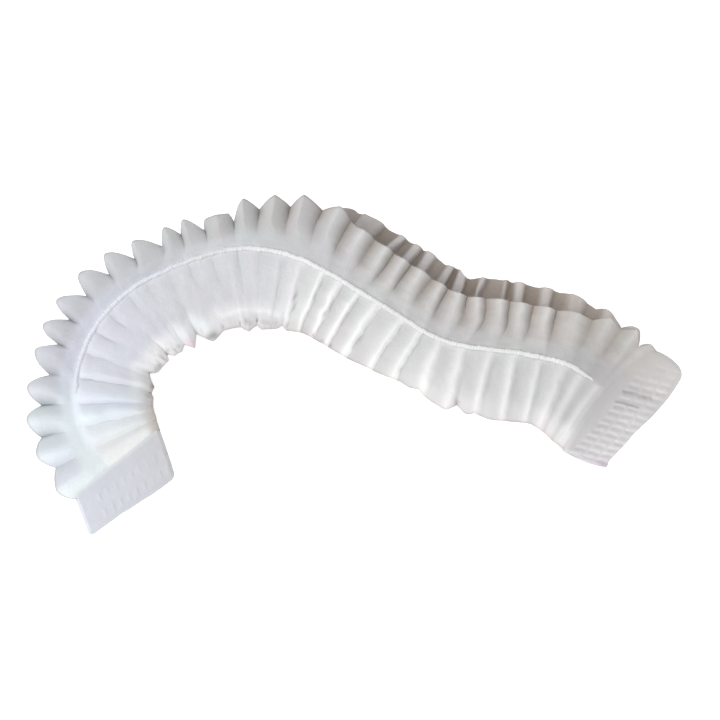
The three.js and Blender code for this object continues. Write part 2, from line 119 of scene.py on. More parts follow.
SECTIONS = {  # along the strip
    "along": (0, 14, 28, 44, 51, 66, 80, 94, 107, 119, 126, 133, 144, 163, 168, 173, 181, 190,
              204, 211, 218, 227, 242),
    "elastic": (0, 0, 1.2, 2.1, 2.3, 1.9, 1.3, 1.2, 1, 0.5, 0.6, 0.6, 0.1, 0.2, -0.2, -0.6, -0.9,
                -1.2, -0.8, -0.6, -0.8, -0.8, 0),
    "crown": (15.3, 19.2, 20.2, 20.4, 19, 19.9, 21.8, 20.9, 22.6, 21.2, 19.6, 17.9, 17.3, 15.5,
              15.9, 17.2, 19.2, 21.3, 20.6, 21.8, 23.6, 24.2, 21),
    "back_extra": (0, -1, -1.2, -1.2, -1.2, -1.2, -1.2, -1.2, -1.2, -0.6, 1.6, 6, 7.2, 8.2, 9.2,
                   7.4, 8.1, 8, 7.7, 5.2, 1.6, 0, 0),
    "depth": (0.5, 0.8, 1, 1, 1, 0.9, 0.85, 0.8, 0.9, 1, 1, 1, 1, 1, 1, 1, 1, 1, 1, 0.9, 0.8, 0.5,
              0.2),
    "body": (1, 1, 1, 0.7, 0.35, 0.18, 0.14, 0.14, 0.25, 0.45, 0.7, 1, 1, 1, 1, 1, 1, 1, 1, 1, 1,
             1, 1),
}

# How the folds look along the strip.
# frill_rise, frill_fall: how round a frill's fold is on its left and right flank. scallop: how
# deep its notches are. frill_depth: how high its folds are. frill_line: how much painted shade its
# creases get. foot, top: where the body's folds start to rise and where they are highest, from -1
# to 1 across the fold. body_fall: how they drop to the next crease. rounded: 1 for soft waves.
# body_depth: how high they are. line_from, line_to, line: the part of a body crease that gets a
# painted shade line, in shares of the way to the crown, and how strong that shade is. fade: how
# much the folds and their painted light and shade fade towards the crown. gather: how strongly the
# crown's edge is gathered, and how much painted shade its gathers get. shaded_edge: how far it
# bends down, and how much painted shade it gets there.
STYLES = {
    "along": (0, 20, 45, 54, 70, 78, 92, 100, 112, 126, 134, 144, 175, 200, 215, 242),
    "frill_rise": (2.8, 1.6, 1.8, 2.2, 2.2, 2, 1.8, 1.3, 1.3, 1.3, 1.5, 1.7, 1.7, 1.7, 0.9, 0.6),
    "frill_fall": (1.8, 1.8, 1.8, 1.6, 1.5, 1.4, 1.4, 1.5, 1.2, 1.2, 1.7, 1.8, 1.8, 1.8, 1.2, 1.1),
    "scallop": (1, 1, 1, 1, 1, 1, 1, 1, 1, 0.9, 0.6, 0.5, 0.6, 0.6, 0.9, 1),
    "frill_depth": (0.9, 1, 1, 1, 1, 1, 1, 1, 1, 0.8, 0.55, 0.5, 0.42, 0.42, 0.7, 0.8),
    "frill_line": (0.3, 0.5, 0.6, 0.6, 0.5, 0.4, 0.3, 0.1, 0.1, 0.1, 0.1, 0.1, 0.1, 0.1, 0.2, 0.3),
    "foot": (-1, -1, -1, -1, -1, -1, -1, -1, -0.9, -0.7, -0.6, -0.6, -0.9, -0.9, -0.9, -0.9),
    "top": (0.1, 0.1, 0, 0, 0, 0, 0, 0.1, 0.3, 0.5, 0.6, 0.6, 0.15, 0.1, 0.1, 0.1),
    "body_fall": (1, 1, 1.2, 2, 2, 2, 2, 1.8, 1.4, 1.2, 1.1, 1.1, 1.6, 1.7, 1.7, 1.7),
    "rounded": (1, 1, 0.3, 0, 0, 0, 0, 0, 0.4, 0.5, 0.4, 0.3, 0, 0, 0, 0),
    "body_depth": (0.7, 0.7, 0.8, 1, 1, 1, 1, 1, 0.5, 0.3, 0.32, 0.38, 0.45, 0.45, 0.45, 0.4),
    "line_from": (0, 0, 0, 0, 0, 0, 0, 0.36, 0.36, 0.36, 0, 0, 0, 0, 0, 0),
    "line_to": (1, 1, 0.55, 0.3, 0.2, 0.1, 0.1, 0.62, 0.62, 1, 1, 1, 1, 1, 1, 1),
    "line": (0.2, 0.2, 0.7, 0.8, 0.6, 0.4, 0, 0.4, 0.3, 0.35, 0.25, 0.2, 0.1, 0.1, 0.1, 0.1),
    "fade": (0, 0, 0.3, 1, 1, 1, 1, 1, 0.8, 0.1, 0, 0, 0, 0, 0, 0),
    "gather": (0, 0.2, 0.5, 1, 1, 0.2, 0.2, 0.7, 0.7, 0.5, 0.2, 0.1, 0.1, 0.1, 0, 0),
    "shaded_edge": (1, 1, 0.45, 0.1, 0.1, 0.1, 0.1, 0.1, 0.1, 0.2, 0.3, 0.1, 0.1, 0.1, 0.2, 0.3),
}

# Where looks change along the strip: the place, and the length over which they do.
# WARM: where the painted shade in creases and pockets turns from cool to warm.
WARM = (96, 26)  # from cool creases to warm ones
STRAIGHT = (122, 12)  # from a frill whose folds lean to one whose folds are straight
SINGLE = (164, 8)  # from folds on the body to single ridges
SMOOTH_CROWN = (46, 8)  # until here the crown's edge has no folds

# The crown's gathered edge, from lobe to notch.
CROWN_EDGE = np.array([
    (8, 17.6), (14, 18.9), (16, 19.4), (19, 20.3), (28, 20.6), (38, 20.9), (40.3, 20.0), (44, 20.7),
    (50.3, 17.9), (53, 20.3), (62, 21.0), (64.5, 19.2), (66.5, 21.3), (72, 21.8),
    (75.2, 20.6), (79.8, 23.2), (82.8, 19.3), (87.8, 23.6), (92.8, 21.5), (101.5, 22.0),
    (103, 22.7), (107, 23.6), (112.5, 21.7), (117, 22.8), (126, 21.0), (127.3, 19.3),
    (129, 20.1), (134, 18.4), (140, 18.4), (150, 18.5), (160, 17.2), (166, 16.0), (168.3, 16.6),
    (170.3, 16.0), (172, 17.6), (174.8, 19.0), (176.9, 20.0), (178.9, 17.9), (180.9, 20.5),
    (182.8, 19.9), (188, 21.2), (192, 21.3), (204, 20.3), (214, 22.5), (220, 23.4),
    (230, 24.0), (242, 21.0),
])

# Dents under the crown's lobes, and a few short marks on the body; each has a depth and an amount
# of painted shade.
DENTS = [  # along, reach, half length, half width, depth, how dark
    (38.4, 19.2, 1, 1, 0.5, 0.35), (40.3, 19.8, 0.6, 0.6, 0.6, 0.7),
    (44.2, 19.9, 1.8, 0.6, 0.4, 0.7), (50.4, 18, 0.5, 0.5, 0.6, 0.7),
    (53.6, 19.3, 1.3, 0.6, 0.4, 0.5), (56.4, 19.6, 1.4, 0.7, 0.4, 0.6),
    (61.2, 19.4, 0.7, 1.4, 0.4, 0.5), (64.4, 19.3, 0.6, 0.6, 0.5, 0.7),
    (66.3, 18.9, 1, 0.5, 0.4, 0.4), (69.2, 20.3, 0.8, 0.5, 0.3, 0.4),
    (72.4, 20.2, 1.4, 0.6, 0.3, 0.45), (82.9, 19, 0.5, 0.8, 0.3, 0.3),
    (85.3, 19.4, 0.4, 0.8, 0.3, 0.3), (88, 21.9, 2.4, 1.1, 0.5, 0.8),
    (92.9, 20.4, 0.5, 0.5, 0.4, 0.6), (101.4, 20.7, 0.6, 0.4, 0.3, 0.6),
    (105.6, 20.6, 1.6, 0.9, 0.4, 0.4), (108.4, 21.2, 1.8, 0.7, 0.3, 0.3),
    (112.5, 20.2, 0.7, 0.6, 0.6, 0.9), (116.6, 20.5, 1.6, 0.6, 0.3, 0.3),
    (120, 20.3, 1.6, 0.5, 0.3, 0.25), (124.6, 19.6, 0.9, 0.8, 0.4, 0.35),
    (128.6, 18.6, 0.6, 0.9, 0.4, 0.4), (137.6, 17.5, 0.5, 0.5, 0.3, 0.6),
    (141.2, 17.7, 0.7, 0.4, 0.3, 0.4), (144.1, 17.6, 0.5, 0.5, 0.3, 0.5),
    (178.9, 17.2, 0.5, 0.7, 0.3, 0.4), (127.2, 10.2, 0.5, 1.4, 0.2, 0.45),
    (128.2, 13, 0.4, 1.6, 0.2, 0.45), (137.7, 10.8, 0.35, 1.4, 0.15, 0.4),
    (151.4, 12, 0.9, 1.8, 0.2, 0.22), (143.6, 9, 0.3, 2.5, 0.1, 0.25),
]


def dents(along, across):
    """Depth of the dents, and the painted shade in them."""
    depth, painted_shade = np.zeros_like(across), np.zeros_like(across)
    for at, reach, length, width, deep, shade in DENTS:
        form = bell(along, at, length) * bell(across, -reach, width)
        depth, painted_shade = depth + deep * form, painted_shade + shade * form
    return depth, painted_shade


def crown_edge(along):
    return np.interp(along, CROWN_EDGE[:, 0], CROWN_EDGE[:, 1])


rng = np.random.default_rng(41)
LATTICE_SIZE = 128
LATTICE = rng.uniform(-1, 1, (LATTICE_SIZE, LATTICE_SIZE))


def smooth(x):
    x = np.clip(x, 0, 1)
    return x * x * (3 - 2 * x)


def rise(x, start, over):
    """0 up to start, 1 from there plus that much on, and smooth between them."""
    return smooth((x - start) / over)


def fall(x, end, over):
    """1 until that much before the end, 0 from the end on, and smooth between them."""
    return smooth((end - x) / over)


def bell(x, middle, width):
    return np.exp(-(((x - middle) / width) ** 2))


def mix(a, b, share):
    return a + (b - a) * share


def noise(x, y, size, seed=0):
    """Smooth noise from -1 to 1 with features of about that size."""
    x, y = np.asarray(x) / size + 17.3 * seed, np.asarray(y) / size + 5.7 * seed
    ix, iy = np.floor(x).astype(int), np.floor(y).astype(int)
    fx, fy = smooth(x - ix), smooth(y - iy)
    corner = lambda a, b: LATTICE[(ix + a) % LATTICE_SIZE, (iy + b) % LATTICE_SIZE]
    low = mix(corner(0, 0), corner(1, 0), fx)
    high = mix(corner(0, 1), corner(1, 1), fx)
    return mix(low, high, fy)


def walk_spine():
    step, run_in, run_out = 0.05, 12, 256
    along = np.arange(-run_in, run_out, step)
    ends = np.cumsum([length for length, _ in SPINE_ARCS])
    bends = np.array([math.radians(turn) / length for length, turn in SPINE_ARCS])
    arc = np.clip(np.searchsorted(ends, along + step / 2), 0, len(bends) - 1)
    heading = np.concatenate([[0], np.cumsum(bends[arc] * step)[:-1]])
    zero = int(round(run_in / step))
    heading += math.radians(SPINE_START["heading"]) - heading[zero]
    middle = heading + bends[arc] * step / 2
    x = np.concatenate([[0], np.cumsum(np.cos(middle) * step)[:-1]])
    y = np.concatenate([[0], np.cumsum(np.sin(middle) * step)[:-1]])
    return along, x - x[zero] + SPINE_START["x"], y - y[zero] + SPINE_START["y"], heading


SPINE = walk_spine()


def place(along, across, height):
    """Points in metres, from strip coordinates in millimetres."""
    s, x, y, heading = SPINE
    h = np.interp(along, s, heading)
    px = np.interp(along, s, x) - across * np.sin(h)
    py = np.interp(along, s, y) + across * np.cos(h)
    return np.stack([px, py, np.broadcast_to(height, px.shape)], axis=-1) * MM


def section(column, along):
    return np.interp(along, SECTIONS["along"], SECTIONS[column])


def style(column, along):
    return np.interp(along, STYLES["along"], STYLES[column])


def rows(on_frill, on_body):
    """That many shares of the way from the elastic to the frill (1) and the crown (-1)."""
    to_frill, to_crown = np.linspace(1, 0, on_frill), np.linspace(0, -1, on_body)
    return np.concatenate([to_frill[:-1], to_crown])[None, :]


def swell(along):
    return smooth(np.minimum(along - WALL_FROM[ELASTIC], WALL_TO[ELASTIC] - along) / SWELL)


def profile(knots, at):
    """A smooth curve through (place, value) knots."""
    x, y = np.array(sorted(knots)).T
    slope = np.gradient(y, x)
    i = np.clip(np.searchsorted(x, at) - 1, 0, len(x) - 2)
    width = x[i + 1] - x[i]
    t = np.clip((at - x[i]) / width, 0, 1)
    a, b = y[i], y[i + 1]
    c, d = slope[i] * width, slope[i + 1] * width
    return (
        a * (1 + 2 * t) * (1 - t) ** 2 + c * t * (1 - t) ** 2
        + b * t * t * (3 - 2 * t) + d * t * t * (t - 1)
    )


class Columns:
    """Stations along the strip, `per_side` to each flank of a fold, one under the other."""

    def __init__(self, per_side, overlap=0.0):
        ridge, tooth = FOLDS[:, :3], FOLDS[:, 3]
        crease, notch = FOLDS[:, 4:7].copy(), FOLDS[:, 7]
        crease[-1] += overlap
        before = np.vstack([np.array(WALL_FROM) - overlap, crease[:-1]])
        steps = (1 - np.cos(np.linspace(0, math.pi, per_side + 1)[:-1])) / 2
        levels, t = [], []
        for start, top, end in zip(before, ridge, crease):
            levels += [mix(start, top, u) for u in steps] + [mix(top, end, u) for u in steps]
            t += [u - 1 for u in steps] + list(steps)
        levels = np.array(levels + [crease[-1]])
        last = len(ridge) - 1
        fold = np.append(np.repeat(np.arange(last + 1), 2 * per_side), last)[:, None]
        left, right = np.maximum(fold - 1, 0), np.minimum(fold + 1, last)
        self.frill, self.along, self.crown = levels.T[..., None]
        self.fold = fold
        self.t = np.array(t + [1.0])[:, None]  # -1 and 1 in the creases, 0 on the ridge
        self.away = np.abs(self.t)
        beside = np.where(self.t < 0, tooth[left], tooth[right])
        valley = np.where(self.t < 0, notch[left], notch[fold])
        top = ridge[fold, ELASTIC]
        flank = np.where(self.t < 0, top - before[fold, ELASTIC], crease[fold, ELASTIC] - top)
        self.from_crease = (1 - self.away) * flank
        # Both sides of a crease meet in the same reach.
        self.reach = mix(tooth[fold], beside, self.away**4 / 2)
        self.cut = self.reach - np.minimum(valley, self.reach)

    def line_noise(self, across, size, seed):
        """Noise along each ridge and each crease, blended over the flanks between them."""
        crease = self.fold + (self.t > 0)
        on_ridge = noise(self.fold * 5.1 * size, across, size, seed)
        in_crease = noise(crease * 7.3 * size, across, size, seed + 1)
        return mix(on_ridge, in_crease, self.away)

    def strip_points(self, w, reach, crown, cut):
        """Places at shares w of the way from the elastic to the frill (1) or crown (-1)."""
        start, up = section("elastic", self.along), -np.minimum(w, 0)
        turn = mix(w, smooth(w / 0.6), swell(self.along))
        to_frill = mix(self.along, self.frill, turn)
        along = np.where(w > 0, to_frill, mix(self.along, self.crown, up))
        to_frill = mix(start, reach, w) - profile(NOTCHED, w) * cut
        return along, np.where(w > 0, to_frill, mix(start, -crown, up))


NOTCHED = [(1, 1), (0.8, 0.55), (0.6, 0.2), (0.27, 0), (-1, 0)]


# ---- meshes

def mesh_from(name, material, points, faces, tint, uv):
    mesh = bpy.data.meshes.new(name)
    mesh.vertices.add(len(points))
    mesh.vertices.foreach_set("co", np.asarray(points, dtype=np.float32).ravel())
    mesh.loops.add(faces.size)
    mesh.loops.foreach_set("vertex_index", faces.astype(np.int32).ravel())
    mesh.polygons.add(len(faces))
    mesh.polygons.foreach_set("loop_start", np.arange(0, faces.size, 4, dtype=np.int32))
    mesh.polygons.foreach_set("use_smooth", np.ones(len(faces), dtype=bool))
    mesh.update(calc_edges=True)
    colour = mesh.attributes.new("Tint", "FLOAT_COLOR", "POINT")
    rgba = np.concatenate([tint, np.ones((len(tint), 1))], axis=1)
    colour.data.foreach_set("color", rgba.astype(np.float32).ravel())
    layer = mesh.uv_layers.new(name="Cloth")
    layer.data.foreach_set("uv", uv[faces.ravel()].astype(np.float32).ravel())
    mesh.validate()
    mesh.materials.append(material)
    return add_object(name, mesh)


def shell_mesh(name, material, upper, lower, tint, uv, flipped=False):
    """A closed mesh between two grids of points, with a rim round their edges."""
    count = upper[..., 0].size
    index = np.arange(count).reshape(upper.shape[:2])
    rim = np.concatenate([index[:, 0], index[-1, 1:], index[-2::-1, -1], index[0, -2:0:-1]])
    after = np.roll(rim, -1)
    sides = np.stack([rim, rim + count, after + count, after], axis=1)
    corners = [index[:-1, :-1], index[1:, :-1], index[1:, 1:], index[:-1, 1:]]
    faces = np.stack(corners, axis=-1).reshape(-1, 4)
    faces = np.concatenate([faces, faces[:, ::-1] + count, sides])
    return mesh_from(
        name,
        material,
        np.concatenate([upper.reshape(-1, 3), lower.reshape(-1, 3)]),
        faces[:, ::-1] if flipped else faces,
        np.concatenate([tint.reshape(-1, 3)] * 2),
        np.concatenate([uv.reshape(-1, 2)] * 2),
    )


def sheet_mesh(name, material, points, tint, uv):
    """A closed mesh of cloth from a grid of points on its middle surface."""
    normal = np.cross(np.gradient(points, axis=0), np.gradient(points, axis=1))
    normal /= np.maximum(np.linalg.norm(normal, axis=-1, keepdims=True), 1e-12)
    half = normal * (CLOTH * MM / 2)
    return shell_mesh(name, material, points + half, points - half, tint, uv)


def pleated_uv(cols, across):
    """Where each point lies on the cloth when its pleats are drawn out."""
    drawn_out = (cols.along + cols.fold * 2) * DRAWN_OUT
    return np.stack(np.broadcast_arrays(drawn_out, across), axis=-1) * MM


# ---- materials

def cloth_material(name, roughness, translucency, crumple_depth, bond_pitch, bond_depth):
    """Spunbonded nonwoven: cloudy fibres, small bond points, fine crumples."""
    material = bpy.data.materials.new(name)
    material.use_nodes = True
    tree = material.node_tree
    tree.nodes.clear()

    def add(kind, inputs, output=0, **settings):
        """An output of a new node whose inputs are linked to sockets or set to values."""
        made = tree.nodes.new("ShaderNode" + kind)
        for key, value in settings.items():
            setattr(made, key, value)
        for key, value in inputs.items():
            if isinstance(value, bpy.types.NodeSocket):
                tree.links.new(value, made.inputs[key])
            else:
                made.inputs[key].default_value = value
        return made.outputs[output] if made.outputs else None

    def noise_texture(scale, **inputs):
        return add("TexNoise", {"Vector": where, "Scale": scale, **inputs}, "Fac")

    def bump(height, strength, depth, **inputs):
        inputs = {"Height": height, "Strength": strength, "Distance": depth * MM, **inputs}
        return add("Bump", inputs, "Normal")

    where = add("TexCoord", {}, "Object")
    cloth = add("UVMap", {}, "UV", uv_map="Cloth")
    tint = add("Attribute", {}, "Color", attribute_name="Tint")
    cloud = noise_texture(210.0, Detail=4.0)
    fibre = noise_texture(2600.0, Detail=3.0, Distortion=1.4)
    crumple = noise_texture(700.0, Detail=5.0, Roughness=0.6)
    bond_scale = 1 / (bond_pitch * MM)
    spots = add(
        "TexVoronoi", {"Vector": cloth, "Scale": bond_scale, "Randomness": 0.15}, "Distance"
    )
    bond_range = {"Value": spots, "From Min": 0.12, "From Max": 0.42}
    bond = add("MapRange", bond_range, "Result", interpolation_type="SMOOTHSTEP")
    shade = add("Math", {0: cloud, 1: 0.10, 2: 0.95}, operation="MULTIPLY_ADD")
    grain = add("Math", {0: fibre, 1: 0.08, 2: 0.96}, operation="MULTIPLY_ADD")
    value = add("Math", {0: shade, 1: grain}, operation="MULTIPLY")
    grey = add("CombineColor", {0: value, 1: value, 2: value})
    colour = add(
        "Mix", {0: 1.0, 6: tint, 7: grey}, 2, data_type="RGBA", blend_type="MULTIPLY"
    )
    rough_range = {
        "Value": cloud, "From Min": 0.3, "From Max": 0.7,
        "To Min": roughness - 0.08, "To Max": roughness + 0.08,
    }
    rough = add("MapRange", rough_range, "Result")
    normal = bump(bond, 0.35, bond_depth)
    normal = bump(fibre, 0.4, 0.05, Normal=normal)
    normal = bump(crumple, 0.6, crumple_depth, Normal=normal)
    surface = {
        "Base Color": colour, "Roughness": rough, "Normal": normal, "IOR": 1.46,
        "Specular IOR Level": 0.35, "Sheen Weight": 0.12, "Sheen Roughness": 0.5,
    }
    lit = add("BsdfPrincipled", surface)
    through = add("BsdfTranslucent", {"Color": colour, "Normal": normal})
    both = add("MixShader", {0: translucency, 1: lit, 2: through})
    add("OutputMaterial", {"Surface": both})
    return material


# roughness, share that shines through, depth of crumples, pitch and depth of bond points
NONWOVEN = cloth_material("nonwoven_cloth", 0.78, 0.3, 0.35, 0.9, 0.05)
SEALED = cloth_material("heat_sealed_nonwoven", 0.5, 0.15, 0.2, 0.7, 0.03)
THREAD = cloth_material("elastic_thread", 0.65, 0.1, 0.3, 0.5, 0.04)

# ---- colours

# The cloth's linear colour in percent, partly its own tone and partly light and shade painted in
# region by region: along the strip, on the frill, on the band beside the elastic, on the body and
# near the crown.
COLOURS = {
    "along": (0, 12.5, 14.5, 20, 32, 44, 62, 80, 98, 116, 130, 150, 175, 200, 218, 223.5, 242),
    "frill": [
        (70, 71, 76), (70, 71, 76), (86, 92, 91), (76, 79, 84), (70, 73, 76), (66, 67, 71),
        (65, 66, 69), (62, 63, 64), (60, 60, 60.5), (58, 57, 57), (62, 61.2, 62), (63, 62, 61.5),
        (63, 61, 60.5), (64, 62, 60.5), (65, 63, 61), (66, 64, 62.5), (64, 63, 63.5),
    ],
    "band": [
        (70, 71, 77), (70, 71, 77), (88, 92, 94), (85, 90, 92), (78, 82, 86), (70, 72, 79),
        (70, 72, 78), (64, 66, 69), (70, 71, 73), (64, 65, 66), (65, 65, 66.5), (65, 65, 65.5),
        (64, 63, 63.5), (62, 62, 62), (62, 61.5, 62), (62, 61, 61.5), (62, 61, 61.5),
    ],
    "body": [
        (71, 72, 79), (71, 72, 79), (93, 95, 94), (93, 95, 96), (84, 88, 95), (78, 79.5, 85),
        (75, 76, 82), (73, 74, 77), (74, 74.5, 77.5), (76, 76, 78), (87, 87, 87.5), (88, 88, 88),
        (82, 82, 82), (78, 77.5, 78), (81, 80.5, 81), (63, 62, 62.5), (64, 63, 63.5),
    ],
    "crown": [
        (72, 72, 79), (72, 72, 79), (92, 94, 92), (91, 92, 92), (86, 88, 91), (92, 93, 95),
        (95, 95.5, 96), (92, 93, 95), (88, 88.5, 89), (87, 87, 88), (87, 87, 88), (83, 82.5, 83),
        (85, 85, 85), (83, 82.5, 83.5), (96, 95, 96), (66, 65, 66), (66, 64, 66),
    ],
}
# Where each colour is reached, in shares of the way to the frill or the crown.
ZONES = {"frill": 0.50, "band": 0.20, "body": -0.06, "crown": -0.85}
# What the colour is multiplied by: painted shade in creases, on bent-down edges and rims, in dents
# and in the back frill's recesses, and two tints of the cloth's own, PINK and LILAC.
CREASE_SHADE_COOL = np.array((0.66, 0.67, 0.70))
CREASE_SHADE_WARM = np.array((0.56, 0.52, 0.48))
EDGE_SHADE = np.array((0.68, 0.61, 0.57))
DENT_SHADE = np.array((0.40, 0.39, 0.39))
RECESS_SHADE = np.array((0.70, 0.62, 0.55))
PINK = np.array((0.90, 0.76, 0.81))
LILAC = np.array((0.84, 0.76, 0.84))

# Painted light and shade across a fold in percent, from the crease before it (-1) over its ridge
# (0) to the crease after it (1); a row for each place along the strip.
TONES_AT = np.array((-1, -0.85, -0.5, -0.2, 0, 0.25, 0.5, 0.75, 1))
FRILL_SHADING = np.array([
    (14, 110, 118, 121, 119, 114, 106, 100, 95, 88),
    (25, 86, 102, 113, 119, 112, 98, 93, 90, 84),
    (34, 84, 95, 106, 115, 110, 99, 94, 90, 82),
    (44, 80, 86, 96, 102, 105, 104, 103, 96, 82),
    (90, 82, 88, 96, 101, 103, 104, 104, 99, 88),
    (106, 80, 86, 96, 101, 103, 104, 102, 94, 80),
    (126, 72, 82, 95, 104, 109, 106, 98, 84, 72),
    (134, 70, 74, 88, 106, 124, 112, 96, 82, 74),
    (190, 72, 76, 89, 105, 118, 110, 96, 83, 76),
    (228, 84, 90, 96, 103, 110, 102, 93, 88, 84),
])
BODY_SHADING = np.array([
    (14, 108, 114, 116, 112, 108, 104, 100, 98, 98),
    (25, 108, 118, 116, 108, 101, 96, 91, 90, 92),
    (36, 100, 112, 112, 107, 102, 97, 93, 90, 91),
    (46, 92, 99, 103, 103, 101, 100, 97, 93, 90),
    (62, 92, 98, 101, 102, 101, 100, 99, 96, 93),
    (110, 96, 99, 101, 101, 101, 100, 100, 98, 96),
    (124, 92, 93, 95, 99, 104, 107, 108, 103, 97),
    (134, 87, 84, 85, 91, 102, 113, 120, 119, 102),
    (166, 87, 84, 85, 91, 102, 113, 120, 119, 102),
    (224, 86, 88, 90, 98, 107, 115, 112, 100, 92),
])
# Painted highlights on the body's single ridges along the strip, and painted shade on the cloth
# between them.
RIDGE_HIGHLIGHTS = {"along": (190, 206, 211, 217), "tone": (1.08, 1.04, 1.10, 1.17)}
SHADE_BETWEEN_RIDGES = 0.9
# The warm tint of the painted shade in deep pockets, and of its part at the frill's rim.
POCKET_SHADE_TINT = np.array((1.0, 0.97, 0.94))
RIM_POCKET_SHADE_TINT = np.array((1.0, 0.92, 0.84))


def cloth_colour(zone, along):
    table = np.array(COLOURS[zone]) / 100
    return np.stack(
        [np.interp(along, COLOURS["along"], table[:, c]) for c in range(3)], axis=-1
    )


def strip_colour(along, w):
    """The cloth's colour at shares w of the way to the frill (1) or the crown (-1)."""
    along, w = np.broadcast_arrays(along, w)
    along = along + np.where(w > 0, 1.8, 2.2) * w * (1 - rise(along, 16, 12))
    frill, band, body, crown = (cloth_colour(zone, along) for zone in ZONES)
    share = lambda start, end: rise(w, start, end - start)[..., None]
    near_elastic = mix(band, frill, share(ZONES["band"], ZONES["frill"]))
    on_body = mix(body, crown, share(-0.6, ZONES["crown"]))
    return mix(near_elastic, on_body, share(0.02, ZONES["body"]))


def fold_shading(table, along, t):
    """The table's painted light and shade at places along the strip (columns) and across each fold.
    """
    rows = np.stack(
        [np.interp(along, table[:, 0], column / 100) for column in table.T[1:]], axis=-1
    )
    at = np.clip(np.searchsorted(TONES_AT, t) - 1, 0, len(TONES_AT) - 2)
    share = rise(t, TONES_AT[at], TONES_AT[at + 1] - TONES_AT[at])
    pick = lambda k: np.take_along_axis(rows, k[..., None], axis=-1)[..., 0]
    return mix(pick(at), pick(at + 1), share)


def darkened(colour, shade, amount):
    """The colour with that share of a shade multiplied in."""
    return colour * mix(1.0, shade, np.clip(amount, 0, 1)[..., None])


def crease_shade(along):
    return mix(CREASE_SHADE_COOL, CREASE_SHADE_WARM, rise(along, *WARM)[..., None])


# ---- front panel

FRONT_BASE = [(1, 10.7), (0.8, 11.2), (0.6, 11.3), (0.27, 10.7), (0, 10.35),
              (-0.12, 10.7), (-0.3, 11.1), (-0.68, 10.4), (-0.85, 9.2), (-1, 7)]
FRONT_RELIEF = [(1, 1.7), (0.75, 1.6), (0.5, 1), (0.36, 0.45), (0.22, 0.1), (0, 0.05),
                (-0.04, 0.2), (-0.12, 0.8), (-0.35, 1.2), (-0.7, 1.2), (-0.9, 1),
                (-1, 0.8)]
SEALED_FRONT = 1.42
SEAL_OVERLAP = 1.0
PER_SIDE = 9  # stations on each flank of a fold
AT_RIM = (0.5, 0.35)  # the outer part of the frill: from this share of its width, over that
LIGHTEST = 0.98
BLUNT_TOOTH = 100.5


def fold_wave(t, foot, top, fall, rounded):
    """A fold's section: -1 in the creases beside it and up to foot, 1 at top."""
    up = np.clip((t - foot) / (top - foot), 0, 1)
    down = np.clip((t - top) / (1 - top), 0, 1)
    sharp = np.where(t < top, 1 - 2 * (1 - up) ** 2 * (1 + up), 1 - 2 * down**fall)
    soft = np.where(t < top, 2 * smooth(up) - 1, 1 - 2 * smooth(down))
    return mix(sharp, soft, rounded)


def soft_ridges(along, body, half_width):
    """1 on the body's ridges, falling to 0 over about that far to both sides of them."""
    found = np.zeros_like(along)
    for fold in FOLDS:
        ridge = mix(fold[ELASTIC], fold[CROWN], body)
        found = np.maximum(found, bell(along, ridge, half_width))
    return found


def smooth_crown(s, body):
    """1 where the crown's edge has no folds."""
    return rise(body, 0.7, 0.22) * fall(s, *SMOOTH_CROWN)


def gathered_crown(along, across):
    """The small folds at the crown's edge, from -1 to 1."""
    return noise(along, across * 0.3, 1.5, 14)


def frill_shading(along, s, t, frill):
    """Painted light and shade on the frill. Its pockets' painted shade narrows towards the band
    beside the elastic.
    """
    straight = rise(s, *STRAIGHT)
    narrowed = t * mix(mix(0.55, 1.0, straight), 1.0, rise(frill, 0.3, 0.6))
    uneven = 0.08 * noise(along, 0, 3.0, 16)
    ends = mix(0.25 * straight, 1.0, smooth((frill - 0.2 + uneven) / 0.26))
    tone = mix(1.0, fold_shading(FRILL_SHADING, s, narrowed), ends)
    kept = mix(1 - 0.65 * straight, 1.0, rise(frill, *AT_RIM))
    return np.minimum(tone, mix(1.0, tone, kept))


def body_shading(s, t, body, ridges):
    """Painted light and shade on the body: by its folds, and further along painted highlights on
    its single ridges.
    """
    begins = smooth(body / 0.06) * (1 - 0.9 * rise(body, 0.25, 0.3) * style("fade", s))
    begins = begins * (1 - 0.8 * smooth_crown(s, body))
    by_fold = fold_shading(BODY_SHADING, s, t)
    on_ridge = np.interp(s, RIDGE_HIGHLIGHTS["along"], RIDGE_HIGHLIGHTS["tone"])
    by_ridge = mix(SHADE_BETWEEN_RIDGES, on_ridge, ridges)
    return mix(1.0, mix(by_fold, by_ridge, rise(s, *SINGLE)), begins)


